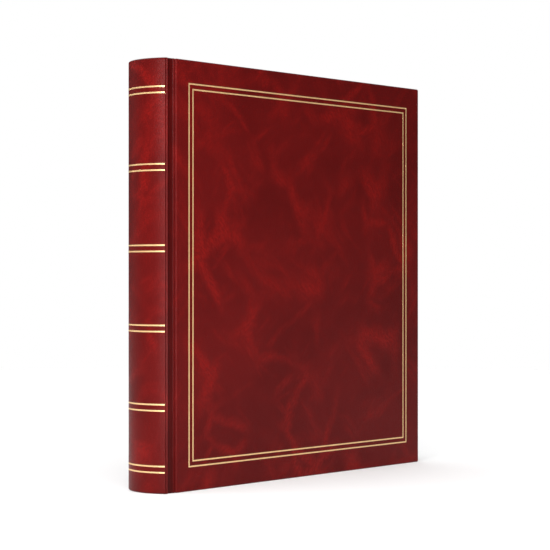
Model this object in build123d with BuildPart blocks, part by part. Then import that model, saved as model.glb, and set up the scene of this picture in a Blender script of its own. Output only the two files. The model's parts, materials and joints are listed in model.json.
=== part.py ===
"""Ring-bound stamp album standing closed on its tail edge.

Millimetres, +Z up, origin at the middle of the base. The spine is at -X, the fore-edge at +X,
the front cover faces -Y and the back cover +Y. A side of -1 means front, +1 means back.
"""

import os
from math import cos, radians, sin, sqrt

from build123d import *

os.makedirs("parts", exist_ok=True)

# Whole album
album_width = 305.0  # back of the spine to the fore-edge
album_height = 317.0
covers_depth = 41.0  # over both covers

# Case: boards, leatherette and lining
board_thickness = 2.8
cloth_thickness = 0.6
turn_in_width = 4.0
lining_edge_gap = 0.15
cover_edge_radius = 0.7
spine_rise = 7.2  # bulge of the rounded back behind the shoulders
shoulder_proud = 0.5  # the shoulders stand above the cover faces
spine_shell_thickness = 2.2
spine_plate_thickness = 2.4
spine_lining_thickness = 0.4
joint_width = 8.6  # shoulder to the edge of the cover board
joint_depth = 1.4  # outer cover face to the outside of the hinge strip
hinge_strip_thickness = 1.0
hinge_strip_gap = 0.3

# Ring mechanism
mechanism_half_width = 11.0
mechanism_height = 5.2
mechanism_eave = 3.0
mechanism_sheet = 0.9
mechanism_end_inset = 9.0
skirt_height = 1.4
rail_thickness = 0.8
rail_lift = 0.3  # the rails lie this far above the spine lining
rail_side_gap = 0.3
rail_middle_gap = 0.3
ring_count = 18
ring_wire = 2.4
ring_tip_gap = 0.2
ring_foot_angle = 29.0  # where a ring meets its rail, from the ring's lowest point
ring_sweep = 170.0  # swept from the tip past the rail's top, then cut flush with it
ring_open_angle = 9.0
ring_cover_gap = 0.6  # open rings to a closed cover
ring_end_margin = 9.0  # end of a leaf to its nearest hole
slot_clearance = 0.4
rivet_radius = 1.5
rivet_head_radius = 3.0
rivet_head_height = 0.9
rivet_head_rounding = 0.54
rivet_hole_gap = 0.05
rivet_notch_gap = 0.6
rivet_spans = (1, 8, 15)  # each rivet stands between this ring and the next

# Opening levers
lever_pin_radius = 0.6
lever_pin_gap = 0.1
lever_pin_seat_gap = 0.02
lever_pin_inset = 2.2
lever_pin_height = 2.1
lever_foot_half_width = 3.8
lever_foot_half_thickness = 1.1
lever_foot_reach = 1.8
lever_tab_half_width = 5.0
lever_tab_thickness = 1.8
lever_tab_height = 13.0
lever_tab_gap = 0.6
lever_tab_lift = 0.3
lever_corner_radius = 2.5
lever_rail_gap = 0.6

# Leaves
leaf_count = 14
leaf_thickness = 0.4
leaf_end_square = 13.5
leaf_fore_square = 5.9
leaf_corner_radius = 3.0
leaf_hole_margin = 6.0
leaf_hole_radius = 2.5
stack_spread = 39.4  # angle on the rings of the outermost leaf
strip_count = 6
strip_film = 0.2
strip_end_gap = 12.0
strip_spacing = 4.0
strip_hole_gap = 12.0
strip_fore_gap = 6.0

# Places that follow from the sizes
half_depth = covers_depth / 2
fore_edge_x = album_width / 2
spine_back_x = -album_width / 2
shoulder_x = spine_back_x + spine_rise
shoulder_y = half_depth + shoulder_proud
joint_edge_x = shoulder_x + joint_width
inner_half_depth = half_depth - 2 * cloth_thickness - board_thickness
strip_outer_y = half_depth - joint_depth
strip_inner_y = strip_outer_y - hinge_strip_thickness
spine_plate_half_width = strip_inner_y - hinge_strip_gap
plate_face_x = shoulder_x + spine_plate_thickness
base_x = plate_face_x + spine_lining_thickness

spine_radius = (shoulder_y**2 + spine_rise**2) / (2 * spine_rise)
spine_centre_x = spine_back_x + spine_radius

wire_radius = ring_wire / 2
rail_top_x = base_x + rail_lift + rail_thickness
pivot_x = base_x + rail_lift + rail_thickness / 2
pivot_y = mechanism_half_width - mechanism_sheet - rail_side_gap - rail_thickness / 2
open_sine = sin(radians(ring_open_angle))
foot_cosine = cos(radians(ring_foot_angle))
open_shift = pivot_y * (1 - cos(radians(ring_open_angle))) + rail_thickness / 2 * open_sine
ring_reach = inner_half_depth - ring_cover_gap - wire_radius - open_shift
ring_radius = ring_reach / (1 + foot_cosine * open_sine)
ring_centre_x = rail_top_x + ring_radius * foot_cosine
ring_span = album_height - 2 * (leaf_end_square + ring_end_margin)
ring_pitch = ring_span / (ring_count - 1)
ring_heights = [album_height / 2 + (i - (ring_count - 1) / 2) * ring_pitch for i in range(ring_count)]
rivet_heights = [(ring_heights[i] + ring_heights[i + 1]) / 2 for i in rivet_spans]

mechanism_length = album_height - 2 * mechanism_end_inset
lever_pin_x = base_x + lever_pin_height
lever_pin_z = album_height / 2 - mechanism_end_inset - lever_pin_inset
rail_length = 2 * (lever_pin_z - lever_foot_reach - lever_rail_gap)

strip_span = album_height - 2 * (leaf_end_square + strip_end_gap)
strip_pitch = (strip_span + strip_spacing) / strip_count
strip_height = strip_pitch - strip_spacing
leaf_fore_x = fore_edge_x - leaf_fore_square
leaf_pitch = 2 * ring_radius * sin(radians(stack_spread)) / (leaf_count - 1)


def save(part, name):
    """Label one finished piece and write its STEP file."""
    part.label = name
    export_step(part, f"parts/{name}.step")


def rectangle_between(x_low, x_high, y_low, y_high):
    """Draw a rectangle between two corners in the current sketch."""
    with Locations(((x_low + x_high) / 2, (y_low + y_high) / 2)):
        Rectangle(x_high - x_low, y_high - y_low)


def cover_slab(side, near, far):
    """Order two distances from the album's middle plane as a low and a high Y."""
    return min(side * near, side * far), max(side * near, side * far)


def cover_board(side):
    """Stiff board of one cover."""
    board_inner = inner_half_depth + cloth_thickness
    with BuildPart() as board:
        with BuildSketch(Plane.XY.offset(cloth_thickness)):
            rectangle_between(
                joint_edge_x + cloth_thickness,
                fore_edge_x - cloth_thickness,
                *cover_slab(side, board_inner, board_inner + board_thickness),
            )
        extrude(amount=album_height - 2 * cloth_thickness)
    return board.part


def cover_covering(side):
    """Leatherette over the outside of one board, turned in over three of its edges."""
    board_inner = inner_half_depth + cloth_thickness
    with BuildPart() as covering:
        with BuildSketch():
            rectangle_between(joint_edge_x, fore_edge_x, *cover_slab(side, inner_half_depth, half_depth))
        extrude(amount=album_height)
        outer_face = covering.faces().sort_by(Axis.Y)[0 if side < 0 else -1]
        corner_edges = covering.edges().filter_by(Axis.Y).group_by(Axis.X)[-1]
        fillet(outer_face.edges() + corner_edges, radius=cover_edge_radius)
        with BuildSketch(Plane.XY.offset(cloth_thickness)):
            rectangle_between(
                joint_edge_x + cloth_thickness,
                fore_edge_x - cloth_thickness,
                *cover_slab(side, board_inner, board_inner + board_thickness),
            )
        extrude(amount=album_height - 2 * cloth_thickness, mode=Mode.SUBTRACT)
        with BuildSketch(Plane.XY.offset(turn_in_width)):
            rectangle_between(
                joint_edge_x + cloth_thickness,
                fore_edge_x - turn_in_width,
                *cover_slab(side, inner_half_depth, board_inner),
            )
        extrude(amount=album_height - 2 * turn_in_width, mode=Mode.SUBTRACT)
    return covering.part


def cover_lining(side):
    """Endpaper pasted on the inside of one board, between the turn-ins."""
    with BuildPart() as lining:
        with BuildSketch(Plane.XY.offset(turn_in_width + lining_edge_gap)):
            rectangle_between(
                joint_edge_x + cloth_thickness + lining_edge_gap,
                fore_edge_x - turn_in_width - lining_edge_gap,
                *cover_slab(side, inner_half_depth, inner_half_depth + cloth_thickness),
            )
        extrude(amount=album_height - 2 * (turn_in_width + lining_edge_gap))
    return lining.part


def hinge_strip(side):
    """Leatherette and lining of one joint, which bends as its cover opens."""
    with BuildPart() as strip:
        with BuildSketch(Plane.XY.offset(hinge_strip_gap)):
            rectangle_between(
                shoulder_x + hinge_strip_gap,
                joint_edge_x - hinge_strip_gap,
                *cover_slab(side, strip_inner_y, strip_outer_y),
            )
        extrude(amount=album_height - 2 * hinge_strip_gap)
    return strip.part


def spine_segment(inset, mode=Mode.ADD):
    """Draw the segment between the rounded back, moved in by inset, and the shoulders."""
    radius = spine_radius - inset
    half_chord = sqrt(radius**2 - (spine_centre_x - shoulder_x) ** 2)
    with BuildLine() as outline:
        ThreePointArc((shoulder_x, -half_chord), (spine_centre_x - radius, 0), (shoulder_x, half_chord))
        Line((shoulder_x, half_chord), (shoulder_x, -half_chord))
    make_face(outline.edges(), mode=mode)


def half_ring_group(side):
    """All half rings that one rail carries, from their tips down to the rail's top."""
    tip_turn = ring_tip_gap / 2 / ring_radius
    tip_plane = Plane(
        origin=(ring_centre_x, 0, 0),
        x_dir=(cos(tip_turn), side * sin(tip_turn), 0),
        z_dir=(side * sin(tip_turn), -cos(tip_turn), 0),
    )
    with BuildPart() as half_rings:
        with BuildSketch(tip_plane):
            with Locations(*[(ring_radius, height) for height in ring_heights]):
                Circle(wire_radius)
        revolve(
            axis=Axis((ring_centre_x, 0, 0), (0, 0, side)),
            revolution_arc=ring_sweep,
        )
        split(bisect_by=Plane.YZ.offset(rail_top_x), keep=Keep.TOP)
    return half_rings.part


def ring_rail(side):
    """Flat steel rail that carries one row of half rings and turns on its round outer edge."""
    with BuildPart() as rail:
        with BuildSketch(Plane.XY.offset(album_height / 2 - rail_length / 2)):
            rectangle_between(
                base_x + rail_lift, rail_top_x, *cover_slab(side, rail_middle_gap / 2, pivot_y)
            )
            with Locations((pivot_x, side * pivot_y)):
                Circle(rail_thickness / 2)
        extrude(amount=rail_length)
        with BuildSketch(Plane.YZ.offset(base_x)):
            with Locations(*[(0, height) for height in rivet_heights]):
                Circle(rivet_radius + rivet_notch_gap)
        extrude(amount=mechanism_height, mode=Mode.SUBTRACT)
    return rail.part


def opening_lever(end):
    """Lever at one end of the mechanism: end is +1 at the top and -1 at the bottom."""
    middle = album_height / 2
    pin_z = middle + end * lever_pin_z
    tab_inner_z = middle + end * (album_height / 2 - mechanism_end_inset + lever_tab_gap)
    tab_outer_z = tab_inner_z + end * lever_tab_thickness
    foot_inner_z = pin_z - end * lever_foot_reach
    foot_low, foot_high = sorted((foot_inner_z, tab_inner_z))
    tab_low = min(tab_inner_z, tab_outer_z)
    with BuildPart() as lever:
        with BuildSketch(Plane.XY.offset(foot_low)):
            with Locations((lever_pin_x, 0)):
                Rectangle(2 * lever_foot_half_thickness, 2 * lever_foot_half_width)
        extrude(amount=foot_high - foot_low)
        with BuildSketch(Plane.XY.offset(tab_low)):
            rectangle_between(
                lever_pin_x - lever_tab_lift,
                lever_pin_x + lever_tab_height,
                -lever_tab_half_width,
                lever_tab_half_width,
            )
        extrude(amount=lever_tab_thickness)
        tab_corners = lever.edges().filter_by(Axis.Z).group_by(Axis.X)[-1]
        fillet(tab_corners, radius=lever_corner_radius)
        with BuildSketch(Plane.XZ):
            with Locations((lever_pin_x, pin_z)):
                Circle(lever_pin_radius + lever_pin_gap)
        extrude(amount=lever_tab_half_width, both=True, mode=Mode.SUBTRACT)
    return lever.part


def leaf_sheet(offset):
    """Card leaf lying at Y = offset, its holes centred on the rings' wire."""
    hole_x = ring_centre_x + sqrt(ring_radius**2 - offset**2)
    with BuildPart() as sheet:
        with BuildSketch(Plane.XZ.offset(-offset)) as outline:
            rectangle_between(
                hole_x - leaf_hole_margin,
                leaf_fore_x - (ring_centre_x + ring_radius - hole_x),
                leaf_end_square,
                album_height - leaf_end_square,
            )
            fillet(outline.vertices().group_by(Axis.X)[-1], radius=leaf_corner_radius)
            with Locations(*[(hole_x, height) for height in ring_heights]):
                Circle(leaf_hole_radius, mode=Mode.SUBTRACT)
        extrude(amount=leaf_thickness / 2, both=True)
    return sheet.part


def leaf_strips(offset):
    """Clear pocket strips on both faces of the leaf at Y = offset."""
    hole_x = ring_centre_x + sqrt(ring_radius**2 - offset**2)
    strip_low_x = hole_x + strip_hole_gap
    strip_high_x = leaf_fore_x - (ring_centre_x + ring_radius - hole_x) - strip_fore_gap
    with BuildPart() as strips:
        for face in (-1, 1):
            with BuildSketch(Plane.XZ.offset(-offset - face * leaf_thickness / 2)):
                with Locations(((strip_low_x + strip_high_x) / 2, album_height / 2)):
                    with GridLocations(1, strip_pitch, 1, strip_count):
                        Rectangle(strip_high_x - strip_low_x, strip_height)
            extrude(amount=-face * strip_film)
    return strips.part


# Covers and their joints
for side, name in ((-1, "front"), (1, "back")):
    save(cover_board(side), f"{name}_board")
    save(cover_covering(side), f"{name}_covering")
    save(cover_lining(side), f"{name}_lining")
    save(hinge_strip(side), f"{name}_joint")

# Rounded spine
with BuildPart() as spine_covering:
    with BuildSketch():
        spine_segment(0)
    extrude(amount=album_height)
    end_arcs = spine_covering.edges().filter_by(GeomType.CIRCLE)
    fillet(end_arcs, radius=cover_edge_radius)
    with BuildSketch(Plane.XY.offset(cloth_thickness)):
        spine_segment(cloth_thickness)
    extrude(amount=album_height - 2 * cloth_thickness, mode=Mode.SUBTRACT)
    with BuildSketch():
        spine_segment(cloth_thickness + spine_shell_thickness)
    extrude(amount=album_height, mode=Mode.SUBTRACT)
save(spine_covering.part, "spine_covering")

with BuildPart() as spine_shell:
    with BuildSketch(Plane.XY.offset(cloth_thickness)):
        spine_segment(cloth_thickness)
        spine_segment(cloth_thickness + spine_shell_thickness, mode=Mode.SUBTRACT)
    extrude(amount=album_height - 2 * cloth_thickness)
save(spine_shell.part, "spine_shell")

with BuildPart() as spine_plate:
    with BuildSketch():
        rectangle_between(shoulder_x, plate_face_x, -spine_plate_half_width, spine_plate_half_width)
    extrude(amount=album_height)
    with BuildSketch(Plane.YZ.offset(shoulder_x)):
        with Locations(*[(0, height) for height in rivet_heights]):
            Circle(rivet_radius + rivet_hole_gap)
    extrude(amount=spine_plate_thickness, mode=Mode.SUBTRACT)
save(spine_plate.part, "spine_plate")

with BuildPart() as spine_lining:
    with BuildSketch(Plane.XY.offset(turn_in_width)):
        rectangle_between(plate_face_x, base_x, -inner_half_depth, inner_half_depth)
    extrude(amount=album_height - 2 * turn_in_width)
    with BuildSketch(Plane.YZ.offset(plate_face_x)):
        with Locations(*[(0, height) for height in rivet_heights]):
            Circle(rivet_radius + rivet_hole_gap)
    extrude(amount=spine_lining_thickness, mode=Mode.SUBTRACT)
save(spine_lining.part, "spine_lining")

# Arched steel plate, open underneath, with a slot for each half ring
eave_inner_x = base_x + mechanism_eave - mechanism_sheet
crown_inner_x = base_x + mechanism_height - mechanism_sheet
wall_inner_y = mechanism_half_width - mechanism_sheet
slot_low_y = sqrt((ring_radius - wire_radius) ** 2 - (ring_centre_x - eave_inner_x) ** 2) - slot_clearance
slot_high_y = mechanism_half_width + mechanism_sheet
with BuildPart() as mechanism_plate:
    with BuildSketch(Plane.XY.offset(mechanism_end_inset)):
        with BuildLine():
            ThreePointArc(
                (base_x + mechanism_eave, -mechanism_half_width),
                (base_x + mechanism_height, 0),
                (base_x + mechanism_eave, mechanism_half_width),
            )
            Polyline(
                (base_x + mechanism_eave, mechanism_half_width),
                (base_x, mechanism_half_width),
                (base_x, wall_inner_y),
                (eave_inner_x, wall_inner_y),
            )
            ThreePointArc((eave_inner_x, wall_inner_y), (crown_inner_x, 0), (eave_inner_x, -wall_inner_y))
            Polyline(
                (eave_inner_x, -wall_inner_y),
                (base_x, -wall_inner_y),
                (base_x, -mechanism_half_width),
                (base_x + mechanism_eave, -mechanism_half_width),
            )
        make_face()
    extrude(amount=mechanism_length)
    with BuildSketch(Plane.YZ.offset(base_x + skirt_height)):
        for side in (-1, 1):
            with Locations(*[(side * (slot_low_y + slot_high_y) / 2, height) for height in ring_heights]):
                Rectangle(slot_high_y - slot_low_y, ring_wire + 2 * slot_clearance)
    extrude(amount=mechanism_height, mode=Mode.SUBTRACT)
    with BuildSketch(Plane.YZ.offset(base_x)):
        with Locations(*[(0, height) for height in rivet_heights]):
            Circle(rivet_radius + rivet_hole_gap)
    extrude(amount=mechanism_height, mode=Mode.SUBTRACT)
    with BuildSketch(Plane.XZ):
        with Locations(*[(lever_pin_x, album_height / 2 + end * lever_pin_z) for end in (-1, 1)]):
            Circle(lever_pin_radius + lever_pin_seat_gap)
    extrude(amount=mechanism_half_width, both=True, mode=Mode.SUBTRACT)
save(mechanism_plate.part, "mechanism_plate")

with BuildPart() as mechanism_rivets:
    with BuildSketch(Plane.YZ.offset(shoulder_x)):
        with Locations(*[(0, height) for height in rivet_heights]):
            Circle(rivet_radius)
    extrude(amount=base_x + mechanism_height - shoulder_x)
    with BuildSketch(Plane.YZ.offset(base_x + mechanism_height)):
        with Locations(*[(0, height) for height in rivet_heights]):
            Circle(rivet_head_radius)
    extrude(amount=rivet_head_height)
    fillet(mechanism_rivets.edges().group_by(Axis.X)[-1], radius=rivet_head_rounding)
    with BuildSketch(Plane.YZ.offset(shoulder_x)):
        with Locations(*[(0, height) for height in rivet_heights]):
            Circle(rivet_head_radius)
    extrude(amount=-rivet_head_height)
save(mechanism_rivets.part, "mechanism_rivets")

with BuildPart() as lever_pins:
    with BuildSketch(Plane.XZ):
        with Locations(*[(lever_pin_x, album_height / 2 + end * lever_pin_z) for end in (-1, 1)]):
            Circle(lever_pin_radius)
    extrude(amount=mechanism_half_width, both=True)
save(lever_pins.part, "lever_pins")

# Moving parts of the mechanism
for side, name in ((-1, "front"), (1, "back")):
    save(ring_rail(side), f"{name}_rail")
    save(half_ring_group(side), f"{name}_half_rings")
save(opening_lever(1), "top_lever")
save(opening_lever(-1), "bottom_lever")

# Leaves, numbered from the front cover
for index in range(leaf_count):
    leaf_offset = (index - (leaf_count - 1) / 2) * leaf_pitch
    save(leaf_sheet(leaf_offset), f"leaf_{index + 1:02d}")
    save(leaf_strips(leaf_offset), f"leaf_{index + 1:02d}_strips")
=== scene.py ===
"""Looks of the ring-bound stamp album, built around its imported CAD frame.

Metres, +Z up. The spine is at -X, the fore-edge at +X, the front cover faces -Y.
A side of -1 means front and +1 means back.
"""

import json
import math

import bmesh
import bpy
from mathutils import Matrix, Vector


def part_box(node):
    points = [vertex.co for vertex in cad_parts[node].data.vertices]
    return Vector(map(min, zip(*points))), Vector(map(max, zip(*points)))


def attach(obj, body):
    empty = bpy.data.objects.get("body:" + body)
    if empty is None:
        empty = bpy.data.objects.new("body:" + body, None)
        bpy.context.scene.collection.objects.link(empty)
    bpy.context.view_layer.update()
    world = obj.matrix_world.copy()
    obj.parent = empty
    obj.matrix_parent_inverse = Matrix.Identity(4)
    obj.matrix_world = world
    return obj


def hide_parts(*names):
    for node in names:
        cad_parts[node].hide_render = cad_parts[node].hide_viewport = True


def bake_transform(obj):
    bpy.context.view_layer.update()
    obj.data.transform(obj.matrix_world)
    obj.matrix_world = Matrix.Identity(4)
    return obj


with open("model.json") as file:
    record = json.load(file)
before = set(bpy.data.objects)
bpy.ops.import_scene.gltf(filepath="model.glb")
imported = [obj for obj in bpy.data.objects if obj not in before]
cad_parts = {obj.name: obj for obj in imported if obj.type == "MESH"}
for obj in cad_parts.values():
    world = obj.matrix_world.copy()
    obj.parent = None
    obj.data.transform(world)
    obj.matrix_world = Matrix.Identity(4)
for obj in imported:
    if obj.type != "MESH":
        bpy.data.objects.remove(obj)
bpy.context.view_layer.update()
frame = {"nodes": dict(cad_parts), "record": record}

bl_info = {
    "name": "Stamp album",
    "version": (1, 0, 0),
    "blender": (4, 5, 0),
    "location": "3D View > Sidebar > Album",
    "description": "Leatherette, gold lines, rings and leaves of a ring-bound stamp album",
    "category": "Object",
}

MM = 0.001
QUARTER = math.pi / 2
SIDES = ((-1, "front"), (1, "back"))

# Places read from the frame
COVER_LOW, COVER_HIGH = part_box("front_covering")
SPINE_LOW, SPINE_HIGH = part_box("spine_covering")
PLATE_LOW, PLATE_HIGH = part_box("spine_plate")
LINING_LOW, LINING_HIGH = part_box("spine_lining")
RINGS_LOW, RINGS_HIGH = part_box("front_half_rings")
RAIL_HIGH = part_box("front_rail")[1]
HEIGHT = COVER_HIGH.z
SHOULDER_X = SPINE_HIGH.x
SHOULDER_Y = SPINE_HIGH.y
COVER_OUTER = -COVER_LOW.y
COVER_INNER = -COVER_HIGH.y
SPINE_RISE = SHOULDER_X - SPINE_LOW.x
SPINE_RADIUS = (SHOULDER_Y**2 + SPINE_RISE**2) / (2 * SPINE_RISE)
SPINE_CENTRE_X = SPINE_LOW.x + SPINE_RADIUS

# Sections across a joint, as (x, distance from the middle plane) in millimetres.
# The leatherette runs from under the shoulder, over its lip, along the groove and over the ridge
# beside the board. The lining runs along the inside of the groove.
JOINT_SECTION = (
    (-145.6, 18.95), (-145.35, 19.05), (-145.15, 19.15), (-144.95, 19.4), (-144.75, 19.75),
    (-144.5, 19.9), (-144.2, 19.8), (-144.0, 19.4), (-143.8, 18.85), (-143.4, 18.4),
    (-142.6, 18.2), (-141.0, 18.15), (-139.6, 18.15), (-138.6, 18.2), (-138.0, 18.35),
    (-137.75, 18.7), (-137.6, 19.15), (-137.45, 19.5), (-137.25, 19.6), (-137.0, 19.5),
    (-136.9, 19.15), (-136.8, 18.85), (-136.65, 18.8), (-136.45, 18.85),
)
JOINT_INNER_FACE = 17.45
LINING_SECTION = (
    (-142.70, 16.60), (-142.70, 17.0), (-142.66, 17.35), (-142.45, 17.55), (-142.1, 17.62),
    (-141.0, 17.63), (-139.8, 17.63), (-138.6, 17.65), (-137.6, 17.68), (-136.85, 17.7),
)
LINING_HALF_THICKNESS = 0.16

# Margins of the gold frame: from the joint edge, the fore-edge, the tail and the head
FRAME_MARGINS = (13.6 * MM, 17.3 * MM, 18.2 * MM, 17.5 * MM)
# Middles of the spine's double bands, down from the head
BAND_MIDDLES = (23.25 * MM, 79.6 * MM, 138.6 * MM, 196.85 * MM, 254.35 * MM, 299.2 * MM)
# The bands end this far from the middle plane
BAND_HALF_WIDTH = 19.15 * MM
# Foil reaches this far into the leatherette
FOIL_SUNK = 0.1 * MM
# Size of a foil or wire section along its arc, as (share of the arc, share of the full size)
END_TAPER = (
    (0.0, 0.45), (0.012, 0.8), (0.03, 0.97), (0.05, 1.0),
    (0.95, 1.0), (0.97, 0.97), (0.988, 0.8), (1.0, 0.45),
)

# Area lights: name, place, point they are turned to, size, setting with their power
ALBUM_MIDDLE = (0.0, 0.0, HEIGHT / 2)
AREA_LIGHTS = (
    ("key_softbox", (-1.30, -0.85, 0.26), ALBUM_MIDDLE, (0.9, 0.9), "key_power"),
    ("spine_strip", (-1.20, -0.49, 0.64), ALBUM_MIDDLE, (0.14, 0.50), "strip_power"),
    ("head_light", (-0.442, -0.150, 0.36), (-0.15, -0.02, 0.30), (0.07, 0.10), "head_power"),
    ("tail_light", (-0.50, -0.31, 0.07), (-0.15, -0.02, 0.05), (0.25, 0.08), "tail_power"),
    ("cover_fill", (-0.35, -1.70, 0.95), ALBUM_MIDDLE, (1.2, 1.0), "fill_power"),
    ("rim_light", (-0.70, 1.50, 0.50), ALBUM_MIDDLE, (1.2, 1.2), "rim_power"),
)
CAMERA_PLACE = (-1.025, -0.925, 0.159)
CAMERA_HEADING = math.radians(-47.75)

# What the settings of one kind have in common
LENGTH = {"subtype": "DISTANCE", "unit": "LENGTH"}
POWER = {"subtype": "POWER", "unit": "POWER"}
SHARE = {"min": 0.0, "max": 1.0, "subtype": "FACTOR"}
COLOUR = {"size": 3, "min": 0.0, "max": 1.0, "subtype": "COLOR"}


class LeatherSettings(bpy.types.PropertyGroup):
    """Sizes and colours of the leatherette."""

    thickness: bpy.props.FloatProperty(
        name="Thickness", description="Thickness of the leatherette", default=0.6 * MM, **LENGTH
    )
    edge_radius: bpy.props.FloatProperty(
        name="Edge radius", description="Rounding where the leatherette wraps an outer board edge",
        default=1.0 * MM, **LENGTH,
    )
    joint_inset: bpy.props.FloatProperty(
        name="Joint inset", description="How far the board edge beside the joint is drawn back",
        default=0.3 * MM, **LENGTH,
    )
    joint_edge_radius: bpy.props.FloatProperty(
        name="Joint edge radius", description="Rounding of the board edge beside the joint",
        default=1.2 * MM, **LENGTH,
    )
    shoulder_radius: bpy.props.FloatProperty(
        name="Shoulder radius", description="Rounding of the spine's shoulders",
        default=0.5 * MM, **LENGTH,
    )
    shoulder_drop: bpy.props.FloatProperty(
        name="Shoulder drop", description="How far the spine turns in before its shoulder",
        default=1.55 * MM, **LENGTH,
    )
    turn_in: bpy.props.FloatProperty(
        name="Turn-in", description="Width of leatherette turned in over a board edge",
        default=4.0 * MM, **LENGTH,
    )
    base_colour: bpy.props.FloatVectorProperty(
        name="Base colour", description="Main burgundy of the leatherette",
        default=(0.092, 0.0034, 0.0031), **COLOUR,
    )
    deep_colour: bpy.props.FloatVectorProperty(
        name="Deep colour", description="Darker clouds of the marbling",
        default=(0.075, 0.0027, 0.0025), **COLOUR,
    )
    vein_colour: bpy.props.FloatVectorProperty(
        name="Vein colour", description="Lighter feathered strokes of the marbling",
        default=(0.185, 0.0058, 0.0046), **COLOUR,
    )
    vein_strength: bpy.props.FloatProperty(
        name="Vein strength", description="How clearly the lighter strokes show", default=0.85, **SHARE
    )
    # Painted shade: darkens the leatherette's colour in the joints' grooves and beside the shoulders, where
    # shade falls
    burnish: bpy.props.FloatProperty(
        name="Painted groove shade", description="How much darker the leatherette is in the joints",
        default=0.55, **SHARE,
    )
    grain_size: bpy.props.FloatProperty(
        name="Grain size", description="Width of one grain pebble", default=0.80 * MM, **LENGTH
    )


class FoilSettings(bpy.types.PropertyGroup):
    """Sizes and colour of the gold lines."""

    line_width: bpy.props.FloatProperty(
        name="Line width", description="Width of one line on the cover", default=1.05 * MM, **LENGTH
    )
    line_spacing: bpy.props.FloatProperty(
        name="Line spacing", description="Distance between the two lines of the frame",
        default=4.04 * MM, **LENGTH,
    )
    band_width: bpy.props.FloatProperty(
        name="Band width", description="Width of one line on the spine", default=1.10 * MM, **LENGTH
    )
    band_spacing: bpy.props.FloatProperty(
        name="Band spacing", description="Distance between the two lines of a spine band",
        default=4.5 * MM, **LENGTH,
    )
    proud: bpy.props.FloatProperty(
        name="Foil height", description="Height of the foil above the leatherette",
        default=0.06 * MM, **LENGTH,
    )
    colour: bpy.props.FloatVectorProperty(
        name="Foil colour", description="Colour of the gold foil", default=(0.80, 0.53, 0.25), **COLOUR
    )


class RingSettings(bpy.types.PropertyGroup):
    """Sizes and colours of the ring mechanism."""

    wire: bpy.props.FloatProperty(
        name="Ring wire", description="Diameter of the ring wire", default=2.4 * MM, **LENGTH
    )
    count: bpy.props.IntProperty(name="Rings", description="Number of rings", default=18, min=2, max=40)
    nickel: bpy.props.FloatVectorProperty(
        name="Nickel", description="Colour of the nickel plating", default=(0.62, 0.60, 0.56), **COLOUR
    )
    zinc: bpy.props.FloatVectorProperty(
        name="Zinc", description="Colour of the zinc-plated steel", default=(0.56, 0.57, 0.59), **COLOUR
    )


class PaperSettings(bpy.types.PropertyGroup):
    """Colours of the boards, linings and leaves."""

    endpaper: bpy.props.FloatVectorProperty(
        name="Endpaper", description="Colour of the lining paper", default=(0.78, 0.70, 0.55), **COLOUR
    )
    greyboard: bpy.props.FloatVectorProperty(
        name="Greyboard", description="Colour of the raw board", default=(0.30, 0.27, 0.23), **COLOUR
    )
    card: bpy.props.FloatVectorProperty(
        name="Leaf card", description="Colour of the leaves", default=(0.014, 0.014, 0.015), **COLOUR
    )
    film: bpy.props.FloatVectorProperty(
        name="Pocket film", description="Tint of the clear pocket strips",
        default=(0.90, 0.93, 0.95), **COLOUR,
    )


class StudioSettings(bpy.types.PropertyGroup):
    """Floor, lights and camera."""

    floor_radius: bpy.props.FloatProperty(
        name="Floor radius", description="Radius of the round floor", default=1.6, **LENGTH
    )
    key_power: bpy.props.FloatProperty(
        name="Key light", description="Power of the softbox beside the camera", default=8.0, **POWER
    )
    fill_power: bpy.props.FloatProperty(
        name="Fill light", description="Power of the wide light on the front cover", default=3.0, **POWER
    )
    strip_power: bpy.props.FloatProperty(
        name="Strip light", description="Power of the narrow upright light on the spine",
        default=2.0, **POWER,
    )
    head_power: bpy.props.FloatProperty(
        name="Head light", description="Power of the small light near the head of the spine",
        default=0.50, **POWER,
    )
    tail_power: bpy.props.FloatProperty(
        name="Tail light", description="Power of the small light near the tail of the spine",
        default=1.5, **POWER,
    )
    rim_power: bpy.props.FloatProperty(
        name="Rim light", description="Power of the light behind the spine", default=1.5, **POWER
    )
    room_light: bpy.props.FloatProperty(
        name="Room light", description="Strength of the even light from all sides",
        default=0.10, min=0.0, max=2.0,
    )
    sky_strength: bpy.props.FloatProperty(
        name="Sky light", description="Strength of the even light from above",
        default=3.2, min=0.0, max=20.0,
    )
    focal_length: bpy.props.FloatProperty(
        name="Focal length", description="Camera focal length in millimetres",
        default=113.7, subtype="DISTANCE_CAMERA",
    )


# --- mesh helpers


def new_piece(name, mesh):
    """Link a mesh object at the origin."""
    piece = bpy.data.objects.new(name, mesh)
    bpy.context.scene.collection.objects.link(piece)
    return piece


def finish_mesh(mesh, sharp_angle=40):
    """Shade smooth, but keep edges sharper than the angle, in degrees, crisp."""
    mesh.validate()
    for polygon in mesh.polygons:
        polygon.use_smooth = True
    mesh.set_sharp_from_angle(angle=math.radians(sharp_angle))
    mesh.update()


def skinned(name, rings):
    """Closed mesh through rings of equally many points, with a cap on the first and the last."""
    form = bmesh.new()
    made = [[form.verts.new(point) for point in ring] for ring in rings]
    count = len(made[0])
    for lower, upper in zip(made, made[1:]):
        for index in range(count):
            following = (index + 1) % count
            form.faces.new((lower[index], lower[following], upper[following], upper[index]))
    form.faces.new(made[0])
    form.faces.new(made[-1])
    bmesh.ops.remove_doubles(form, verts=form.verts, dist=1e-7)
    bmesh.ops.recalc_face_normals(form, faces=form.faces)
    mesh = bpy.data.meshes.new(name)
    form.to_mesh(mesh)
    form.free()
    finish_mesh(mesh)
    return mesh


def arc_points(centre, radius, start, end, steps):
    """Points along a circular arc, angles in radians."""
    turns = [start + (end - start) * step / steps for step in range(steps + 1)]
    return [(centre[0] + radius * math.cos(turn), centre[1] + radius * math.sin(turn)) for turn in turns]


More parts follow.
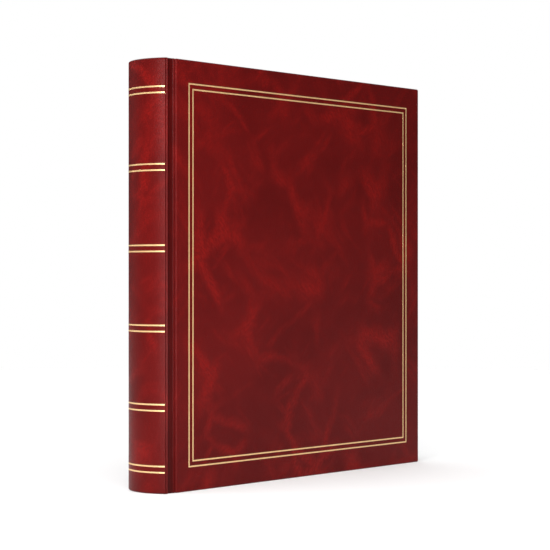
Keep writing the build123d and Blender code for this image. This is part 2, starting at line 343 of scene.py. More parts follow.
def quarter_turn(steps):
    """Sine and cosine at even steps of a quarter turn."""
    turns = [QUARTER * step / steps for step in range(steps + 1)]
    return [(math.sin(turn), math.cos(turn)) for turn in turns]


def rounded_outline(low, high, radius, steps):
    """Closed rounded rectangle in a plane, as (u, v) points."""
    corners = (
        (high[0] - radius, high[1] - radius),
        (low[0] + radius, high[1] - radius),
        (low[0] + radius, low[1] + radius),
        (high[0] - radius, low[1] + radius),
    )
    points = []
    for quarter, centre in enumerate(corners):
        points += arc_points(centre, radius, quarter * QUARTER, (quarter + 1) * QUARTER, steps)
    return points


# --- node helpers


def feed(tree, node, inputs):
    """Link the inputs that are given as sockets, and set the others."""
    for key, value in inputs.items():
        if isinstance(value, bpy.types.NodeSocket):
            tree.links.new(value, node.inputs[key])
        else:
            node.inputs[key].default_value = value


def add_node(tree, kind, inputs=None, **settings):
    """Node with its settings and inputs."""
    node = tree.nodes.new(kind)
    for key, value in settings.items():
        setattr(node, key, value)
    feed(tree, node, inputs or {})
    return node


def calculate(tree, operation, first, second):
    """Math node on two sockets or numbers."""
    return add_node(tree, "ShaderNodeMath", {0: first, 1: second}, operation=operation).outputs["Value"]


def times(tree, first, second):
    """Product of two sockets or numbers."""
    return calculate(tree, "MULTIPLY", first, second)


def new_material(name):
    """Empty node material, with its tree, its Principled shader and its Object coordinates."""
    material = bpy.data.materials.new(name)
    material.use_nodes = True
    tree = material.node_tree
    tree.nodes.clear()
    shader = tree.nodes.new("ShaderNodeBsdfPrincipled")
    add_node(tree, "ShaderNodeOutputMaterial", {"Surface": shader.outputs["BSDF"]})
    place = tree.nodes.new("ShaderNodeTexCoord")
    return material, tree, shader, place.outputs["Object"]


def mapped(tree, coordinates, scale=(1.0, 1.0, 1.0), turn=(0.0, 0.0, 0.0), shift=(0.0, 0.0, 0.0)):
    """Scaled, turned and shifted coordinates."""
    inputs = {"Scale": scale, "Rotation": turn, "Location": shift, "Vector": coordinates}
    return add_node(tree, "ShaderNodeMapping", inputs).outputs["Vector"]


def noise(tree, coordinates, scale, detail=3.0, roughness=0.5, distortion=0.0, output="Fac"):
    """Noise value, or its colour."""
    inputs = {"Scale": scale, "Detail": detail, "Roughness": roughness}
    inputs |= {"Distortion": distortion, "Vector": coordinates}
    return add_node(tree, "ShaderNodeTexNoise", inputs).outputs[output]


def cells(tree, coordinates, scale, feature="F1"):
    """Voronoi distance."""
    inputs = {"Scale": scale, "Vector": coordinates}
    return add_node(tree, "ShaderNodeTexVoronoi", inputs, feature=feature).outputs["Distance"]


def span(tree, value, low, high, new_low=0.0, new_high=1.0):
    """Value mapped smoothly from one range to another."""
    inputs = {"From Min": low, "From Max": high, "To Min": new_low, "To Max": new_high, "Value": value}
    return add_node(tree, "ShaderNodeMapRange", inputs, interpolation_type="SMOOTHSTEP").outputs["Result"]


def mixed(tree, share, first, second):
    """Mix of two colours, each a tuple or a socket."""
    node = add_node(tree, "ShaderNodeMix", {"Factor": share}, data_type="RGBA")
    places = [key for key, socket in enumerate(node.inputs) if socket.type == "RGBA"]
    for key, colour in zip(places, (first, second)):
        feed(tree, node, {key: colour if isinstance(colour, bpy.types.NodeSocket) else (*colour, 1.0)})
    return next(socket for socket in node.outputs if socket.type == "RGBA")


def darker(colour, share):
    """Colour with a share of its light."""
    return tuple(share * part for part in colour)


def bumped(tree, height, strength, distance):
    """Normal of a surface with this height on it."""
    inputs = {"Strength": strength, "Distance": distance, "Height": height}
    return add_node(tree, "ShaderNodeBump", inputs).outputs["Normal"]


def pushed(tree, coordinates, colour, amount):
    """Coordinates pushed about by a noise colour."""
    centred = add_node(tree, "ShaderNodeVectorMath", {0: colour, 1: (0.5, 0.5, 0.5)}, operation="SUBTRACT")
    inputs = {0: centred.outputs["Vector"], 1: (amount, amount, amount), 2: coordinates}
    return add_node(tree, "ShaderNodeVectorMath", inputs, operation="MULTIPLY_ADD").outputs["Vector"]


# --- finishes


def turn_to_x(direction):
    """Turn that brings a direction onto the X axis."""
    return Vector(direction).rotation_difference(Vector((1.0, 0.0, 0.0))).to_euler()


def hairs(tree, place, across):
    """Fine hairs that run at right angles to one direction."""
    hair_scale = (900.0, 260.0, 260.0)
    turned = mapped(tree, place, turn=turn_to_x(across))
    fine = noise(tree, mapped(tree, turned, hair_scale), 1.0, roughness=0.6)
    return span(tree, fine, 0.28, 0.68, 0.25, 1.0)


def creases(tree, place, scale, width, warp, shift):
    """Feathered lines along the borders of warped cells, fading in and out."""
    slow_scale, quick_scale, patch_scale, fray = 11.0, 85.0, 17.0, 0.010
    moved = mapped(tree, place, shift=shift)
    slow = noise(tree, moved, slow_scale, detail=1.0, output="Color")
    bent = pushed(tree, moved, slow, warp)
    quick = noise(tree, moved, quick_scale, roughness=0.6, output="Color")
    frayed = pushed(tree, bent, quick, fray)
    border = cells(tree, frayed, scale, "DISTANCE_TO_EDGE")
    line = span(tree, border, 0.0, width * scale, 1.0, 0.0)
    patches = noise(tree, mapped(tree, moved, (patch_scale,) * 3), 1.0, detail=1.5)
    return times(tree, line, span(tree, patches, 0.46, 0.66))


def smears(tree, place, across, shift):
    """Soft strokes that run at right angles to one direction."""
    warp_scale, warp, stroke_scale = 9.0, 0.045, (75.0, 19.0, 19.0)
    slow = noise(tree, place, warp_scale, detail=2.0, output="Color")
    turned = mapped(tree, pushed(tree, place, slow, warp), turn=turn_to_x(across), shift=shift)
    strokes = noise(tree, mapped(tree, turned, stroke_scale), 1.0, detail=2.5, roughness=0.55)
    return times(tree, span(tree, strokes, 0.52, 0.78), hairs(tree, place, across))


def painted_shade_place(tree, place):
    """Where shade is painted into the leatherette, in the pressed grooves of the joints and in a line
    beside the shoulders, from 0 to 1.
    """
    fade, line_share = 0.4 * MM, 0.45
    apart = add_node(tree, "ShaderNodeSeparateXYZ", {"Vector": place})
    sideways = calculate(tree, "ABSOLUTE", apart.outputs["Y"], 0.0)

    def stretch(start, end):
        """1 between two places along X, fading out inside both."""
        rising = span(tree, apart.outputs["X"], start, start + fade)
        falling = span(tree, apart.outputs["X"], end - fade, end, 1.0, 0.0)
        return times(tree, rising, falling)

    groove = span(tree, sideways, 18.3 * MM, 19.6 * MM, 1.0, 0.0)
    groove_stretch = stretch(SHOULDER_X + 0.9 * MM, COVER_LOW.x + 0.1 * MM)
    line = span(tree, sideways, 18.7 * MM, 18.9 * MM, 0.0, line_share)
    line_stretch = stretch(SHOULDER_X - 1.2 * MM, SHOULDER_X + 0.5 * MM)
    groove = times(tree, groove, groove_stretch)
    return calculate(tree, "MAXIMUM", groove, times(tree, line, line_stretch))


def leatherette():
    """Burgundy marbled leatherette."""
    settings = bpy.context.scene.album_leather
    material, tree, shader, place = new_material("burgundy_leatherette")

    clouds = noise(tree, place, 13.0, detail=4.0, roughness=0.55, distortion=0.5)
    cloud_share = span(tree, clouds, 0.36, 0.62)
    ground = mixed(tree, cloud_share, settings.deep_colour, settings.base_colour)

    rising_across, falling_across = (0.64, 0.42, 0.64), (0.60, -0.42, -0.68)
    narrow_share, smear_share = 0.9, 0.70
    wide = creases(tree, place, 14.0, 0.0100, 0.042, (0.31, 0.12, 0.05))
    wide = times(tree, wide, hairs(tree, place, rising_across))
    narrow = creases(tree, place, 20.0, 0.0065, 0.036, (0.87, 0.46, 0.72))
    narrow = times(tree, narrow, hairs(tree, place, falling_across))
    narrow = times(tree, narrow, narrow_share)
    rising = smears(tree, place, rising_across, (0.3, 1.1, 0.2))
    falling = smears(tree, place, falling_across, (1.7, 0.4, 2.2))
    smeared = times(tree, calculate(tree, "MAXIMUM", rising, falling), smear_share)
    marks = calculate(tree, "MAXIMUM", calculate(tree, "MAXIMUM", wide, narrow), smeared)
    vein_share = times(tree, marks, settings.vein_strength)
    marbled = mixed(tree, vein_share, ground, settings.vein_colour)
    # Painted shade: the colour is darkened in the joints' grooves and in a line beside the shoulders
    painted_shade_share = times(tree, painted_shade_place(tree, place), settings.burnish)

    pebbles = cells(tree, place, 1.0 / settings.grain_size)
    pores = noise(tree, place, 0.5 / settings.grain_size, roughness=0.6)
    grain = calculate(tree, "ADD", pebbles, pores)
    gloss = span(tree, marks, 0.0, 1.0, 0.36, 0.33)
    gloss_grain = span(tree, pores, 0.3, 0.7, -0.03, 0.03)
    feed(tree, shader, {
        "Base Color": mixed(tree, painted_shade_share, marbled, darker(settings.deep_colour, 0.25)),
        "Roughness": calculate(tree, "ADD", gloss, gloss_grain),
        "Specular IOR Level": 0.08,
        "Normal": bumped(tree, grain, 0.50, 0.22 * MM),
    })
    return material


def gold_foil():
    """Stamped gold foil with slight breaks in its shine."""
    colour = bpy.context.scene.album_foil.colour
    material, tree, shader, place = new_material("gold_foil")
    shine = noise(tree, place, 900.0)
    wear = noise(tree, place, 260.0, detail=2.0)
    feed(tree, shader, {
        "Base Color": mixed(tree, span(tree, shine, 0.3, 0.7), darker(colour, 0.86), colour),
        "Metallic": 0.45,
        "Roughness": span(tree, wear, 0.3, 0.7, 0.32, 0.46),
        "Normal": bumped(tree, shine, 0.12, 0.05 * MM),
    })
    return material


def paper(name, setting, fibre_scale, contrast, roughness):
    """Paper or board with fine fibres, in the colour of one paper setting."""
    colour = getattr(bpy.context.scene.album_paper, setting)
    material, tree, shader, place = new_material(name)
    fibres = noise(tree, mapped(tree, place, (1.0, 1.0, 0.35)), fibre_scale, detail=5.0, roughness=0.7)
    mottle = noise(tree, place, 60.0)
    share = span(tree, times(tree, fibres, mottle), 0.12, 0.40)
    feed(tree, shader, {
        "Base Color": mixed(tree, share, darker(colour, 1.0 - contrast), colour),
        "Roughness": span(tree, fibres, 0.3, 0.7, roughness, roughness + 0.1),
        "Specular IOR Level": 0.3,
        "Normal": bumped(tree, fibres, 0.25, 0.08 * MM),
    })
    return material


def clear_film():
    """Clear glossy film of the pocket strips."""
    tint = bpy.context.scene.album_paper.film
    material, tree, shader, place = new_material("clear_film")
    haze = noise(tree, place, 45.0, detail=2.0)
    feed(tree, shader, {
        "Base Color": mixed(tree, haze, darker(tint, 0.94), tint),
        "Roughness": span(tree, haze, 0.3, 0.7, 0.06, 0.16),
        "Alpha": 0.09,
        "IOR": 1.5,
        "Normal": bumped(tree, haze, 0.15, 0.6 * MM),
    })
    return material


def plated(name, setting, scratch_scale, low, high):
    """Plated metal with faint drawn lines, in the colour of one ring setting."""
    colour = getattr(bpy.context.scene.album_rings, setting)
    material, tree, shader, place = new_material(name)
    lines = noise(tree, mapped(tree, place, (1.0, 1.0, 0.06)), scratch_scale, detail=4.0, roughness=0.6)
    dull = noise(tree, place, 70.0)
    feed(tree, shader, {
        "Base Color": mixed(tree, span(tree, dull, 0.3, 0.7), darker(colour, 0.88), colour),
        "Metallic": 1.0,
        "Roughness": span(tree, times(tree, lines, dull), 0.10, 0.42, low, high),
        "Normal": bumped(tree, lines, 0.06, 0.03 * MM),
    })
    return material


# How the finish of each record slot is made
FINISHES = {
    "leatherette": leatherette,
    "gold_foil": gold_foil,
    "greyboard": lambda: paper("greyboard", "greyboard", fibre_scale=900.0, contrast=0.35, roughness=0.85),
    "endpaper": lambda: paper("endpaper", "endpaper", fibre_scale=700.0, contrast=0.10, roughness=0.62),
    "leaf_card": lambda: paper("leaf_card", "card", fibre_scale=1100.0, contrast=0.30, roughness=0.68),
    "clear_film": clear_film,
    "nickel_plate": lambda: plated("nickel_plate", "nickel", scratch_scale=1500.0, low=0.16, high=0.34),
    "nickel_wire": lambda: plated("nickel_wire", "nickel", scratch_scale=1200.0, low=0.10, high=0.22),
    "zinc_steel": lambda: plated("zinc_steel", "zinc", scratch_scale=1800.0, low=0.30, high=0.50),
}
made_finishes = {}


def material_for(slot_name):
    """Finish of one record slot, made on first use."""
    if slot_name not in made_finishes:
        made_finishes[slot_name] = FINISHES[slot_name]()
    return made_finishes[slot_name]


def dressed(mesh, slot_name):
    """Piece of one mesh, with the finish of its record slot."""
    piece = new_piece(mesh.name, mesh)
    mesh.materials.append(material_for(slot_name))
    return piece


# --- shapes


def cover_rings(side, settings):
    """Rings of one cover's leatherette, from under its face, out round the turned-in rim, to its face."""
    outer, inner, thick, turn_in = COVER_OUTER, COVER_INNER, settings.thickness, settings.turn_in
    radius, joint_radius, inside_radius = settings.edge_radius, settings.joint_edge_radius, 0.5 * MM
    corner_radius, least_corner = 1.3 * MM, 0.25 * MM
    clearance, support, steps = 0.15 * MM, 0.8 * MM, 6
    low_x, high_x = COVER_LOW.x + settings.joint_inset, COVER_HIGH.x
    middle_x = (low_x + high_x) / 2

    def ring(joint_inset, inset, depth, joint_depth=None):
        """Outline drawn in from the cover's edges. The joint's side can have its own depth."""
        low, high = (low_x + joint_inset, inset), (high_x - inset, HEIGHT - inset)
        outline = rounded_outline(low, high, max(corner_radius - inset, least_corner), steps)
        near_depth = depth if joint_depth is None else joint_depth
        return [(u, side * (near_depth if u < middle_x else depth), v) for u, v in outline]

    rings = [
        ring(thick, thick, outer - thick),
        ring(thick, thick, inner + thick),
        ring(thick + clearance, turn_in, inner + thick),
        ring(thick + clearance, turn_in, inner),
    ]
    for sine, cosine in quarter_turn(steps):
        inset = inside_radius * (1 - sine)
        rings.append(ring(inset, inset, inner + inside_radius * (1 - cosine)))
    for sine, cosine in quarter_turn(steps):
        depths = [outer - edge * (1 - sine) for edge in (radius, joint_radius)]
        rings.append(ring(joint_radius * (1 - cosine), radius * (1 - cosine), *depths))
    for spread in (support, 4 * support):
        rings.append(ring(joint_radius + spread, radius + spread, outer))
    return rings


def plate_rings():
    """Rings of the wrapped plate behind the mechanism, rounded at its tail and its head."""
    radius, least_corner, steps = 0.6 * MM, 0.15 * MM, 4
    tail, head = [], []
    for sine, cosine in quarter_turn(steps):
        inset, height = radius * (1 - sine), radius * (1 - cosine)
        low, high = (PLATE_LOW.x + inset, PLATE_LOW.y + inset), (PLATE_HIGH.x - inset, PLATE_HIGH.y - inset)
        outline = rounded_outline(low, high, max(radius - inset, least_corner), steps)
        tail.append([(x, y, height) for x, y in outline])
        head.append([(x, y, HEIGHT - height) for x, y in outline])
    return tail + head[::-1]


def spine_outline(depth, settings):
    """Outline of the spine at one depth under its surface, from the front shoulder to the back one."""
    arc_steps, fillet_steps, facet_steps = 44, 4, 4
    closest, end_gap, least_end = 0.05 * MM, 0.15 * MM, 0.1 * MM
    least_facet, dip, end_y = 0.3 * MM, 0.3 * MM, 18.6 * MM
    radius = SPINE_RADIUS - depth
    fillet = max(settings.shoulder_radius - depth, closest)
    level = SHOULDER_Y - settings.shoulder_drop - depth
    end_x = SHOULDER_X - (end_gap if depth > 0 else 0.0)
    # Centre of the fillet that touches the arc from inside and turns it to face sideways
    centre_y = level - fillet
    centre_x = SPINE_CENTRE_X - math.sqrt((radius - fillet) ** 2 - centre_y**2)
    if centre_x + least_facet < end_x:
        touch = math.atan2(centre_y, centre_x - SPINE_CENTRE_X)
        shoulder = arc_points((centre_x, centre_y), fillet, touch, QUARTER, fillet_steps)[1:]
        for step in range(1, facet_steps + 1):
            share = step / facet_steps
            shoulder.append((centre_x + (end_x - centre_x) * share, level - dip * share))
    else:
        # Too little room for a fillet and a facet, so the arc runs out to the end
        touch = math.acos((end_x - SPINE_CENTRE_X) / radius)
        steps = range(1, fillet_steps + facet_steps + 1)
        shoulder = [(end_x, radius * math.sin(touch) - closest * step) for step in steps]
    half = arc_points((SPINE_CENTRE_X, 0.0), radius, math.pi, touch, arc_steps) + shoulder
    last_x, last_y = half[-1]
    half.append((last_x, min(end_y, last_y - least_end)))
    return [(x, -y) for x, y in reversed(half)] + half[1:]


def joint_outline(depth_share):
    """Section of the joint's leatherette, at a share of the way from its outer to its inner face."""
    return [(x * MM, (y + (JOINT_INNER_FACE - y) * depth_share) * MM) for x, y in JOINT_SECTION]


def lining_outline(depth_share):
    """Section of the joint's lining, at a share of the way from its outer to its inner face."""
    offset = LINING_HALF_THICKNESS * (1 - 2 * depth_share)
    points = []
    for index, (x, y) in enumerate(LINING_SECTION):
        before = Vector(LINING_SECTION[max(index - 1, 0)])
        after = Vector(LINING_SECTION[min(index + 1, len(LINING_SECTION) - 1)])
        along = (after - before).normalized()
        points.append(((x - along.y * offset) * MM, (y + along.x * offset) * MM))
    return points


def sheet_mesh(name, outline_at, edge, side=1):
    """Closed sheet. Its edge is (depth, height) pairs, and outline_at gives its outline at a depth."""
    courses = [[(x, side * y, height) for x, y in outline_at(depth)] for depth, height in edge]
    return skinned(name, zip(*courses))


def rolled_edge(roll, roll_depth, behind, turn_in, back):
    """(depth, height) pairs round the edge of a sheet rolled over the tail and the head.

    They go from the turn-in at the tail over the face to the turn-in at the head. The back's are given.
    """
    turns = quarter_turn(5)
    tail = [(behind, turn_in), (behind, roll)]
    tail += [(behind - roll_depth * (1 - cosine), roll * (1 - sine)) for sine, cosine in turns[1:]]
    tail += [(roll_depth * (1 - sine), roll * (1 - cosine)) for sine, cosine in turns]
    head = [(depth, HEIGHT - height) for depth, height in reversed(tail)]
    return tail + head + back


# --- node trees


def new_tree(name, inputs):
    """Geometry Nodes tree with named inputs. Gives the tree, its input sockets and their identifiers."""
    tree = bpy.data.node_groups.new(name, "GeometryNodeTree")
    tree.interface.new_socket("Geometry", in_out="INPUT", socket_type="NodeSocketGeometry")
    tree.interface.new_socket("Geometry", in_out="OUTPUT", socket_type="NodeSocketGeometry")
    identifiers = {}
    for label, kind in inputs.items():
        socket = tree.interface.new_socket(label, in_out="INPUT", socket_type=f"NodeSocket{kind}")
        identifiers[label] = socket.identifier
    return tree, tree.nodes.new("NodeGroupInput").outputs, identifiers


def rectangle(tree, width, height):
    """Rectangular curve."""
    inputs = {"Width": width, "Height": height}
    return add_node(tree, "GeometryNodeCurvePrimitiveQuadrilateral", inputs).outputs["Curve"]


def z_up(tree, curve):
    """Curve whose sections stand with their height along Z."""
    return add_node(tree, "GeometryNodeSetCurveNormal", {"Curve": curve}, mode="Z_UP").outputs["Curve"]


def swept(tree, curve, section, capped):
    """Mesh of a section carried along a curve."""
    inputs = {"Fill Caps": capped, "Curve": curve, "Profile Curve": section}
    return add_node(tree, "GeometryNodeCurveToMesh", inputs).outputs["Mesh"]


def close_tree(tree, geometry, material):
    """Realize the instances, set the material and send the result out."""
    real = add_node(tree, "GeometryNodeRealizeInstances", {"Geometry": geometry}).outputs["Geometry"]
    finish = add_node(tree, "GeometryNodeSetMaterial", {"Geometry": real, "Material": material})
    add_node(tree, "NodeGroupOutput", {"Geometry": finish.outputs["Geometry"]})


def grown(name, points, tree, identifiers, values, sharp_angle):
    """Run a tree on loose points and keep the result as a plain mesh piece."""
    start = bpy.data.meshes.new(f"{name}_start")
    start.from_pydata(points, [], [])
    piece = new_piece(name, start)
    modifier = piece.modifiers.new("grow", "NODES")
    modifier.node_group = tree
    for label, value in values.items():
        modifier[identifiers[label]] = value
    start.update()
    graph = bpy.context.evaluated_depsgraph_get()
    result = bpy.data.meshes.new_from_object(piece.evaluated_get(graph), depsgraph=graph)
    piece.modifiers.remove(modifier)
    piece.data = result
    result.name = name
    if not result.polygons:
        raise RuntimeError(f"{name}: the node tree made no faces")
    finish_mesh(result, sharp_angle)
    return piece


def frame_tree():
    """Two mitred rectangles of flat foil, one inside the other, standing in the XZ plane."""
    tree, given, identifiers = new_tree("gold_frame", {
        "Width": "Float", "Height": "Float", "Spacing": "Float", "Line width": "Float",
        "Foil depth": "Float", "Centre": "Vector", "Material": "Material",
    })
    both = tree.nodes.new("GeometryNodeJoinGeometry")
    double = times(tree, given["Spacing"], 2.0)
    inner_size = [calculate(tree, "SUBTRACT", given[size], double) for size in ("Width", "Height")]
    for size in ((given["Width"], given["Height"]), inner_size):
        tree.links.new(rectangle(tree, *size), both.inputs["Geometry"])
    # The corners are mitred, so the section lies at 45 degrees and is wider by the root of two
    section_width = times(tree, given["Line width"], math.sqrt(2.0))
    section = rectangle(tree, section_width, given["Foil depth"])
    foil = swept(tree, z_up(tree, both.outputs["Geometry"]), section, False)
    inputs = {"Rotation": (QUARTER, 0.0, 0.0), "Geometry": foil, "Translation": given["Centre"]}
    stood = add_node(tree, "GeometryNodeTransform", inputs)
    close_tree(tree, stood.outputs["Geometry"], given["Material"])
    return tree, identifiers


def arc_tree(name, round_section):
    """An arc of flat foil or round wire on every point of the start mesh."""
    wire_sides = 14
    tree, given, identifiers = new_tree(name, {
        "Radius": "Float", "Start angle": "Float", "Sweep angle": "Float", "Section width": "Float",
        "Section depth": "Float", "Steps": "Int", "Material": "Material",
    })
    arc = add_node(tree, "GeometryNodeCurveArc", {
        "Resolution": given["Steps"],
        "Radius": given["Radius"],
        "Start Angle": given["Start angle"],
        "Sweep Angle": given["Sweep angle"],
    })
    along = tree.nodes.new("GeometryNodeSplineParameter")
    # The section shrinks over the last steps, so both ends are rounded
    taper = add_node(tree, "ShaderNodeFloatCurve", {"Value": along.outputs["Factor"]})
    curve = taper.mapping.curves[0]
    while len(curve.points) < len(END_TAPER):
        curve.points.new(0.5, 0.5)
    for point, place in zip(curve.points, END_TAPER):
        point.location = place
        point.handle_type = "VECTOR"
    taper.mapping.update()
    inputs = {"Curve": z_up(tree, arc.outputs["Curve"]), "Radius": taper.outputs["Value"]}
    tapered = add_node(tree, "GeometryNodeSetCurveRadius", inputs).outputs["Curve"]
    if round_section:
        half_width = times(tree, given["Section width"], 0.5)
        inputs = {"Resolution": wire_sides, "Radius": half_width}
        section = add_node(tree, "GeometryNodeCurvePrimitiveCircle", inputs).outputs["Curve"]
    else:
        section = rectangle(tree, given["Section width"], given["Section depth"])
    inputs = {"Points": given["Geometry"], "Instance": swept(tree, tapered, section, True)}
    placed = add_node(tree, "GeometryNodeInstanceOnPoints", inputs)
    close_tree(tree, placed.outputs["Instances"], given["Material"])
    return tree, identifiers


# --- operators


class ALBUM_OT_cover_leather(bpy.types.Operator):
    """Wrap both cover boards in leatherette with rounded edges and turned-in margins"""

    bl_idname = "album.cover_leather"
    bl_label = "Cover leather"

    def execute(self, context):
        for side, name in SIDES:
            rings = cover_rings(side, context.scene.album_leather)
            piece = dressed(skinned(f"{name}_cover_leather", rings), "leatherette")
            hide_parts(f"{name}_covering")
            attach(piece, f"{name}_cover")
        return {"FINISHED"}


class ALBUM_OT_spine_leather(bpy.types.Operator):
    """Wrap the rounded spine in leatherette, rolled over its head and tail, with its board behind"""

    bl_idname = "album.spine_leather"
    bl_label = "Spine leather"

    def execute(self, context):
        settings = context.scene.album_leather
        roll, behind, turn_in, wall = 1.5 * MM, 3.3 * MM, 12.0 * MM, settings.thickness
        # The turned-in leatherette is thinned a little
        inside = behind - 0.9 * wall
        back = [(inside, HEIGHT - turn_in), (inside, HEIGHT - wall), (wall, HEIGHT - wall)]
        back += [(depth, HEIGHT - height) for depth, height in reversed(back)]
        edge = rolled_edge(roll, roll, behind, turn_in, back)
        mesh = sheet_mesh("spine_leather", lambda depth: spine_outline(depth, settings), edge)
        piece = dressed(mesh, "leatherette")
        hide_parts("spine_covering")
        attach(piece, "spine")

        # The board's face is this deep under the surface, and its ends are as far from tail and head
        gap, rear = 0.8 * MM, 2.5 * MM
        edge = [(gap, gap), (gap, HEIGHT - gap), (rear, HEIGHT - gap), (rear, gap)]
        mesh = sheet_mesh("spine_board", lambda depth: spine_outline(depth, settings), edge)
        piece = dressed(mesh, "greyboard")
        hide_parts("spine_shell")
        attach(piece, "spine")
        return {"FINISHED"}


class ALBUM_OT_joint_leather(bpy.types.Operator):
    """Lay the grooved leatherette and the lining across both joints"""

    bl_idname = "album.joint_leather"
    bl_label = "Joint leather"

    def execute(self, context):
        turn_in = context.scene.album_leather.turn_in
        # Depths across the joint are shares of its section
        roll, roll_share, behind_share, back_share = 0.5 * MM, 0.45, 1.0, 0.55
        back = [(back_share, HEIGHT - turn_in), (back_share, turn_in)]
        edge = rolled_edge(roll, roll_share, behind_share, turn_in, back)
        low, high = LINING_LOW.z, LINING_HIGH.z
        lining_edge = [(0.0, low), (0.0, high), (1.0, high), (1.0, low)]
        for side, name in SIDES:
            piece = dressed(sheet_mesh(f"{name}_joint_leather", joint_outline, edge, side), "leatherette")
            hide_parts(f"{name}_joint")
            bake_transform(piece)

            mesh = sheet_mesh(f"{name}_joint_lining", lining_outline, lining_edge, side)
            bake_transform(dressed(mesh, "endpaper"))
        return {"FINISHED"}


class ALBUM_OT_spine_plate(bpy.types.Operator):
    """Wrap the flat plate behind the mechanism in leatherette"""

    bl_idname = "album.spine_plate"
    bl_label = "Spine plate"

    def execute(self, context):
        piece = dressed(skinned("spine_plate_wrap", plate_rings()), "leatherette")
        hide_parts("spine_plate")
        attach(piece, "spine")
        return {"FINISHED"}


class ALBUM_OT_gold_frame(bpy.types.Operator):
    """Stamp the double gold frame on the front cover"""

    bl_idname = "album.gold_frame"
    bl_label = "Gold frame"

    def execute(self, context):
        foil = context.scene.album_foil
        from_joint, from_fore_edge, from_tail, from_head = FRAME_MARGINS
        left, right = COVER_LOW.x + from_joint, COVER_HIGH.x - from_fore_edge
        low, high = from_tail, HEIGHT - from_head
        face = -COVER_OUTER - (foil.proud - FOIL_SUNK) / 2
        values = {
            "Width": right - left,
            "Height": high - low,
            "Spacing": foil.line_spacing,
            "Line width": foil.line_width,
            "Foil depth": foil.proud + FOIL_SUNK,
            "Centre": ((left + right) / 2, face, (low + high) / 2),
            "Material": material_for("gold_foil"),
        }
        piece = grown("front_gold_frame", [(0.0, 0.0, 0.0)], *frame_tree(), values, sharp_angle=25)
        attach(piece, "front_cover")
        return {"FINISHED"}


class ALBUM_OT_spine_bands(bpy.types.Operator):
    """Stamp the six double gold bands across the spine"""

    bl_idname = "album.spine_bands"
    bl_label = "Spine bands"

    def execute(self, context):
        foil = context.scene.album_foil
        points = [
            (SPINE_CENTRE_X, 0.0, HEIGHT - middle + step * foil.band_spacing)
            for middle in BAND_MIDDLES
            for step in (-0.5, 0.5)
        ]
        half_turn = math.asin(BAND_HALF_WIDTH / SPINE_RADIUS)
        values = {
            "Radius": SPINE_RADIUS + (foil.proud - FOIL_SUNK) / 2,
            "Start angle": math.pi - half_turn,
            "Sweep angle": 2 * half_turn,
            "Section width": foil.proud + FOIL_SUNK,
            "Section depth": foil.band_width,
            "Steps": 97,
            "Material": material_for("gold_foil"),
        }
        piece = grown("spine_gold_bands", points, *arc_tree("spine_bands", False), values, sharp_angle=25)
        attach(piece, "spine")
        return {"FINISHED"}


class ALBUM_OT_ring_wires(bpy.types.Operator):
    """Bend the half rings of both rails from round wire"""

    bl_idname = "album.ring_wires"
    bl_label = "Ring wires"

    def execute(self, context):
        settings = context.scene.album_rings
        half_wire = settings.wire / 2
        radius = -RINGS_LOW.y - half_wire
        centre_x = RINGS_HIGH.x - half_wire - radius
        first, last = RINGS_LOW.z + half_wire, RINGS_HIGH.z - half_wire
        pitch = (last - first) / (settings.count - 1)
        points = [(centre_x, 0.0, first + pitch * index) for index in range(settings.count)]
        # Angles at which the wire's foot and tip stand, from the fore-edge side of the middle plane
        foot = math.acos(max(-1.0, (RAIL_HIGH.x - centre_x) / radius))
        tip = 0.1 * MM / radius
        for side, name in SIDES:
            values = {
                "Radius": radius,
                "Start angle": side * tip,
                "Sweep angle": side * (foot - tip),
                "Section width": settings.wire,
                "Section depth": settings.wire,
                "Steps": 41,
                "Material": material_for("nickel_wire"),
            }
            tree, identifiers = arc_tree(f"{name}_ring_wires", True)
            piece = grown(f"{name}_ring_wires", points, tree, identifiers, values, sharp_angle=60)
            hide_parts(f"{name}_half_rings")
            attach(piece, f"{name}_rings")
        return {"FINISHED"}


class ALBUM_OT_frame_finishes(bpy.types.Operator):
    """Give every part that keeps its CAD shape the finish of its record slot"""

    bl_idname = "album.frame_finishes"
    bl_label = "Frame finishes"

    def execute(self, context):
        for entry in frame["record"]["subparts"]:
            node = frame["nodes"][entry["node"]]
            if node.hide_render:
                continue
            material = material_for(entry["material_slot"])
            if not node.material_slots:
                node.data.materials.append(material)
            for holder in node.material_slots:
                holder.material = material
        return {"FINISHED"}


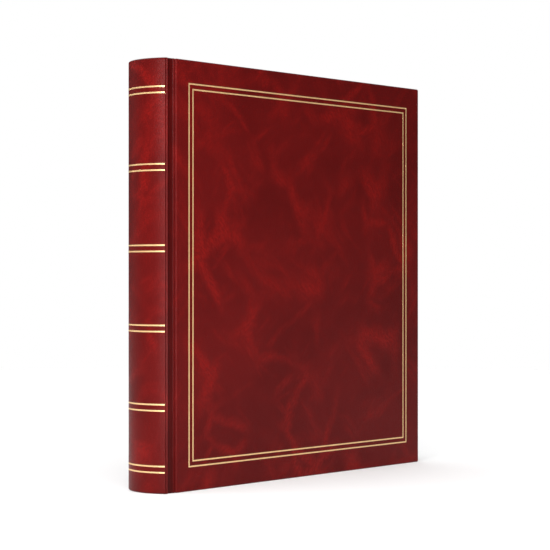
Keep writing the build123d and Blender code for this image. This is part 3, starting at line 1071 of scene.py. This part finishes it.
class ALBUM_OT_studio(bpy.types.Operator):
    """Set the floor, the soft lights and the camera"""

    bl_idname = "album.studio"
    bl_label = "Studio"

    def execute(self, context):
        settings = context.scene.album_studio
        self.pale_floor(settings.floor_radius)
        context.scene.world = self.white_room(settings.room_light)
        for name, place, aim, size, power in AREA_LIGHTS:
            self.soft_light(name, place, aim, size, getattr(settings, power))
        sky = bpy.data.lights.new("sky_light", "SUN")
        sky.energy = settings.sky_strength
        sky.angle = math.radians(120.0)
        context.scene.collection.objects.link(bpy.data.objects.new("sky_light", sky))

        camera_data = bpy.data.cameras.new("studio_camera")
        camera_data.sensor_width = 36.0
        camera_data.lens = settings.focal_length
        camera_data.clip_end = 50.0
        camera = bpy.data.objects.new("studio_camera", camera_data)
        context.scene.collection.objects.link(camera)
        camera.location = CAMERA_PLACE
        camera.rotation_euler = (QUARTER, 0.0, CAMERA_HEADING)
        context.scene.camera = camera
        context.scene.view_settings.view_transform = "Standard"
        return {"FINISHED"}

    def pale_floor(self, radius):
        """Round pale floor under the album."""
        rim = arc_points((0.0, 0.0), radius, 0.0, 2 * math.pi, 96)[:-1]
        mesh = bpy.data.meshes.new("studio_floor")
        mesh.from_pydata([(x, y, 0.0) for x, y in rim], [], [tuple(range(len(rim)))])
        floor = new_piece("studio_floor", mesh)
        material, tree, shader, place = new_material("studio_paper")
        tone = noise(tree, place, 3.0, detail=2.0)
        feed(tree, shader, {
            "Base Color": mixed(tree, tone, (0.90, 0.90, 0.90), (0.92, 0.92, 0.92)),
            "Roughness": 0.9,
            "Specular IOR Level": 0.1,
        })
        mesh.materials.append(material)

    def white_room(self, room_light):
        """World that looks white and lights the album softly."""
        world = bpy.data.worlds.new("studio_world")
        world.use_nodes = True
        tree = world.node_tree
        tree.nodes.clear()
        white = (1.0, 1.0, 1.0, 1.0)
        seen, lit = (
            add_node(tree, "ShaderNodeBackground", {"Color": white, "Strength": strength})
            for strength in (1.0, room_light)
        )
        ray = tree.nodes.new("ShaderNodeLightPath")
        both = add_node(tree, "ShaderNodeMixShader", {
            0: ray.outputs["Is Camera Ray"],
            1: lit.outputs["Background"],
            2: seen.outputs["Background"],
        })
        add_node(tree, "ShaderNodeOutputWorld", {"Surface": both.outputs["Shader"]})
        return world

    def soft_light(self, name, place, aim, size, power):
        """Rectangular area light turned towards a point."""
        data = bpy.data.lights.new(name, "AREA")
        data.shape = "RECTANGLE"
        data.size, data.size_y = size
        data.energy = power
        light = bpy.data.objects.new(name, data)
        light.visible_camera = False
        bpy.context.scene.collection.objects.link(light)
        light.location = place
        light.rotation_euler = (Vector(aim) - Vector(place)).to_track_quat("-Z", "Y").to_euler()


STEPS = (
    ALBUM_OT_cover_leather,
    ALBUM_OT_spine_leather,
    ALBUM_OT_joint_leather,
    ALBUM_OT_spine_plate,
    ALBUM_OT_gold_frame,
    ALBUM_OT_spine_bands,
    ALBUM_OT_ring_wires,
    ALBUM_OT_frame_finishes,
    ALBUM_OT_studio,
)
SETTINGS = {
    "album_leather": LeatherSettings,
    "album_foil": FoilSettings,
    "album_rings": RingSettings,
    "album_paper": PaperSettings,
    "album_studio": StudioSettings,
}


class ALBUM_PT_panel(bpy.types.Panel):
    """Sidebar list of the album's pieces and their settings"""

    bl_idname = "ALBUM_PT_panel"
    bl_label = "Stamp album"
    bl_space_type = "VIEW_3D"
    bl_region_type = "UI"
    bl_category = "Album"

    def draw(self, context):
        for step in STEPS:
            self.layout.operator(step.bl_idname)
        for name in SETTINGS:
            group = getattr(context.scene, name)
            box = self.layout.box()
            for key in group.bl_rna.properties.keys():
                if key not in ("rna_type", "name"):
                    box.prop(group, key)


def register():
    """Register the settings, the operators and the panel."""
    for name, group in SETTINGS.items():
        bpy.utils.register_class(group)
        setattr(bpy.types.Scene, name, bpy.props.PointerProperty(type=group))
    for step in STEPS:
        bpy.utils.register_class(step)
    bpy.utils.register_class(ALBUM_PT_panel)


def unregister():
    """Undo register."""
    bpy.utils.unregister_class(ALBUM_PT_panel)
    for step in reversed(STEPS):
        bpy.utils.unregister_class(step)
    for name, group in SETTINGS.items():
        delattr(bpy.types.Scene, name)
        bpy.utils.unregister_class(group)


def main():
    """Build every piece in order."""
    register()
    for step in STEPS:
        area, name = step.bl_idname.split(".")
        getattr(getattr(bpy.ops, area), name)()


if __name__ == "__main__":
    main()
